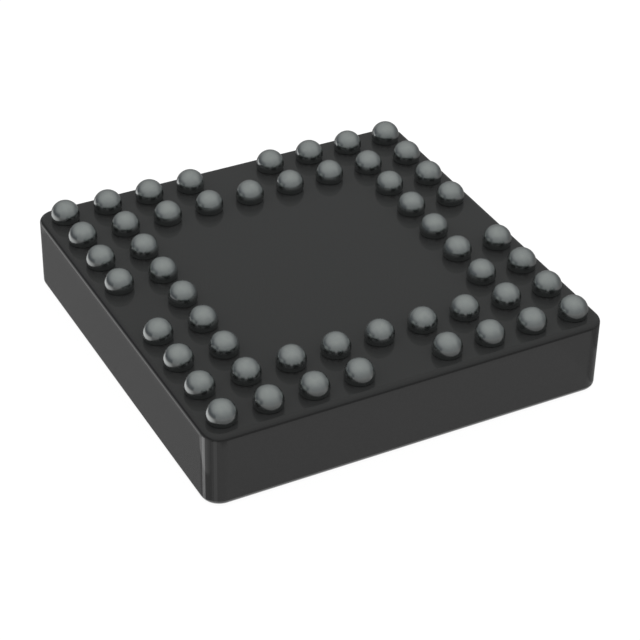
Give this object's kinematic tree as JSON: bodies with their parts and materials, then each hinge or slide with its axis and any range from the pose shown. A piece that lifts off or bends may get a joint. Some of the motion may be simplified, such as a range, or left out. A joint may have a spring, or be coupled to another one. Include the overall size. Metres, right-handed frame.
{
  "type": "integrated circuit",
  "caption": "Small square black moulded integrated circuit in a ball grid package, lying with its two rings of solder balls facing up.",
  "frame": {"origin": "centre of the flat marking face, on which the part lies", "axes": "+Z out of the ball side, +X and +Y along the ball rows"},
  "size_m": [0.0046, 0.0046, 0.0011],
  "materials": {
    "mould_compound": "fine-grained black epoxy with a slight gloss",
    "laminate": "black resin laminate, sawn edge as dark as the mould",
    "solder_mask": "smooth black coat with a soft mirror of the balls",
    "copper": "plated copper",
    "silicon": "polished silicon",
    "attach_film": "cured film",
    "bond_wire": "gold wire",
    "solder": "smooth reflowed solder, satin to bright"
  },
  "bodies": {
    "root": {"ball_side_mask": "solder_mask", "bond_wires": "bond_wire", "copper_conductors": "copper", "die": "silicon", "die_attach": "attach_film", "die_side_mask": "solder_mask", "mould_cap": "mould_compound", "solder_ball_a1": "solder", "solder_ball_a2": "solder", "solder_ball_a3": "solder", "solder_ball_a4": "solder", "solder_ball_a6": "solder", "solder_ball_a7": "solder", "solder_ball_a8": "solder", "solder_ball_a9": "solder", "solder_ball_b1": "solder", "solder_ball_b2": "solder", "solder_ball_b3": "solder", "solder_ball_b4": "solder", "solder_ball_b5": "solder", "solder_ball_b6": "solder", "solder_ball_b7": "solder", "solder_ball_b8": "solder", "solder_ball_b9": "solder", "solder_ball_c1": "solder", "solder_ball_c2": "solder", "solder_ball_c8": "solder", "solder_ball_c9": "solder", "solder_ball_d1": "solder", "solder_ball_d2": "solder", "solder_ball_d8": "solder", "solder_ball_d9": "solder", "solder_ball_e2": "solder", "solder_ball_e8": "solder", "solder_ball_f1": "solder", "solder_ball_f2": "solder", "solder_ball_f8": "solder", "solder_ball_f9": "solder", "solder_ball_g1": "solder", "solder_ball_g2": "solder", "solder_ball_g8": "solder", "solder_ball_g9": "solder", "solder_ball_h1": "solder", "solder_ball_h2": "solder", "solder_ball_h3": "solder", "solder_ball_h4": "solder", "solder_ball_h5": "solder", "solder_ball_h6": "solder", "solder_ball_h7": "solder", "solder_ball_h8": "solder", "solder_ball_h9": "solder", "solder_ball_j1": "solder", "solder_ball_j2": "solder", "solder_ball_j3": "solder", "solder_ball_j4": "solder", "solder_ball_j6": "solder", "solder_ball_j7": "solder", "solder_ball_j8": "solder", "solder_ball_j9": "solder", "substrate_core": "laminate"}
  },
  "joints": []
}
